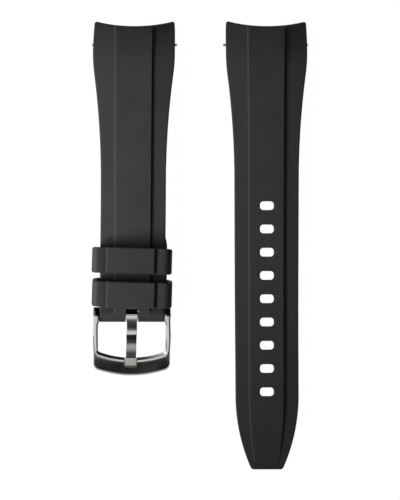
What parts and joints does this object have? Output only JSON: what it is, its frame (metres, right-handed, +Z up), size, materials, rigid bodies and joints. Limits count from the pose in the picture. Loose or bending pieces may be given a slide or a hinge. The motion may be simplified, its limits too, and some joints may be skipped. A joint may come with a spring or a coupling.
{
  "type": "watch strap",
  "caption": "Two-piece rubber watch strap with curved lug ends, raised centre band, keeper loops and a steel pin buckle.",
  "frame": {"origin": "middle of the bounding box, at the surface that both halves lie on", "axes": "+X across both halves from the buckle half to the tail half, +Y towards the lug ends, +Z up out of the faces that show when worn"},
  "size_m": [0.0528, 0.1094, 0.01],
  "materials": {
    "strap_rubber": "matt",
    "keeper_rubber": "matt",
    "frame_steel": "brushed top, polished arms",
    "tongue_steel": "fine brushed",
    "bar_steel": "drawn",
    "spring_steel": "drawn wire"
  },
  "bodies": {
    "buckle_half": {"buckle_strap": "strap_rubber", "buckle_bar_tube": "bar_steel", "buckle_bar_spring": "spring_steel", "buckle_lug_bar_tube": "bar_steel", "buckle_lug_bar_spring": "spring_steel"},
    "tail_half": {"tail_strap": "strap_rubber", "tail_lug_bar_tube": "bar_steel", "tail_lug_bar_spring": "spring_steel"},
    "buckle_frame": {"buckle_frame": "frame_steel"},
    "buckle_tongue": {"buckle_tongue": "tongue_steel"},
    "upper_keeper": {"upper_keeper": "keeper_rubber"},
    "lower_keeper": {"lower_keeper": "keeper_rubber"},
    "buckle_bar_left_tip": {"buckle_bar_left_tip": "bar_steel"},
    "buckle_bar_right_tip": {"buckle_bar_right_tip": "bar_steel"},
    "buckle_lug_bar_inner_tip": {"buckle_lug_bar_inner_tip": "bar_steel"},
    "buckle_lug_bar_outer_tip": {"buckle_lug_bar_outer_tip": "bar_steel"},
    "tail_lug_bar_inner_tip": {"tail_lug_bar_inner_tip": "bar_steel"},
    "tail_lug_bar_outer_tip": {"tail_lug_bar_outer_tip": "bar_steel"}
  },
  "joints": [
    {"name": "frame_hinge", "type": "hinge", "parent": "buckle_half", "child": "buckle_frame", "pos_m": [-0.01625, -0.01709, 0.00292], "axis": [-1, 0, 0], "range_deg": [-70, 35]},
    {"name": "tongue_hinge", "type": "hinge", "parent": "buckle_frame", "child": "buckle_tongue", "pos_m": [-0.01625, -0.01709, 0.00292], "axis": [-1, 0, 0], "range_deg": [0, 55]},
    {"name": "upper_keeper_slide", "type": "slide", "parent": "buckle_half", "child": "upper_keeper", "axis": [0, 1, 0], "range_m": [0, 0.016]},
    {"name": "lower_keeper_slide", "type": "slide", "parent": "buckle_half", "child": "lower_keeper", "axis": [0, 0.9941, 0.1081], "range_m": [0, 0.0009]},
    {"name": "buckle_bar_left_press", "type": "slide", "parent": "buckle_half", "child": "buckle_bar_left_tip", "axis": [1, 0, 0], "range_m": [0, 0.0012], "stiffness_N_per_m": 60, "springref_m": -0.003, "deforming": ["buckle_bar_spring"]},
    {"name": "buckle_bar_right_press", "type": "slide", "parent": "buckle_half", "child": "buckle_bar_right_tip", "axis": [-1, 0, 0], "range_m": [0, 0.0012], "stiffness_N_per_m": 60, "springref_m": -0.003, "deforming": ["buckle_bar_spring"]},
    {"name": "buckle_lug_inner_press", "type": "slide", "parent": "buckle_half", "child": "buckle_lug_bar_inner_tip", "axis": [-1, 0, 0], "range_m": [0, 0.001], "stiffness_N_per_m": 60, "springref_m": -0.003, "deforming": ["buckle_lug_bar_spring"]},
    {"name": "buckle_lug_outer_press", "type": "slide", "parent": "buckle_half", "child": "buckle_lug_bar_outer_tip", "axis": [1, 0, 0], "range_m": [0, 0.001], "stiffness_N_per_m": 60, "springref_m": -0.003, "deforming": ["buckle_lug_bar_spring"]},
    {"name": "tail_lift", "type": "slide", "parent": "buckle_half", "child": "tail_half", "axis": [0, 0, 1], "range_m": [0, 0.04]},
    {"name": "tail_lug_inner_press", "type": "slide", "parent": "tail_half", "child": "tail_lug_bar_inner_tip", "axis": [1, 0, 0], "range_m": [0, 0.001], "stiffness_N_per_m": 60, "springref_m": -0.003, "deforming": ["tail_lug_bar_spring"]},
    {"name": "tail_lug_outer_press", "type": "slide", "parent": "tail_half", "child": "tail_lug_bar_outer_tip", "axis": [-1, 0, 0], "range_m": [0, 0.001], "stiffness_N_per_m": 60, "springref_m": -0.003, "deforming": ["tail_lug_bar_spring"]}
  ]
}
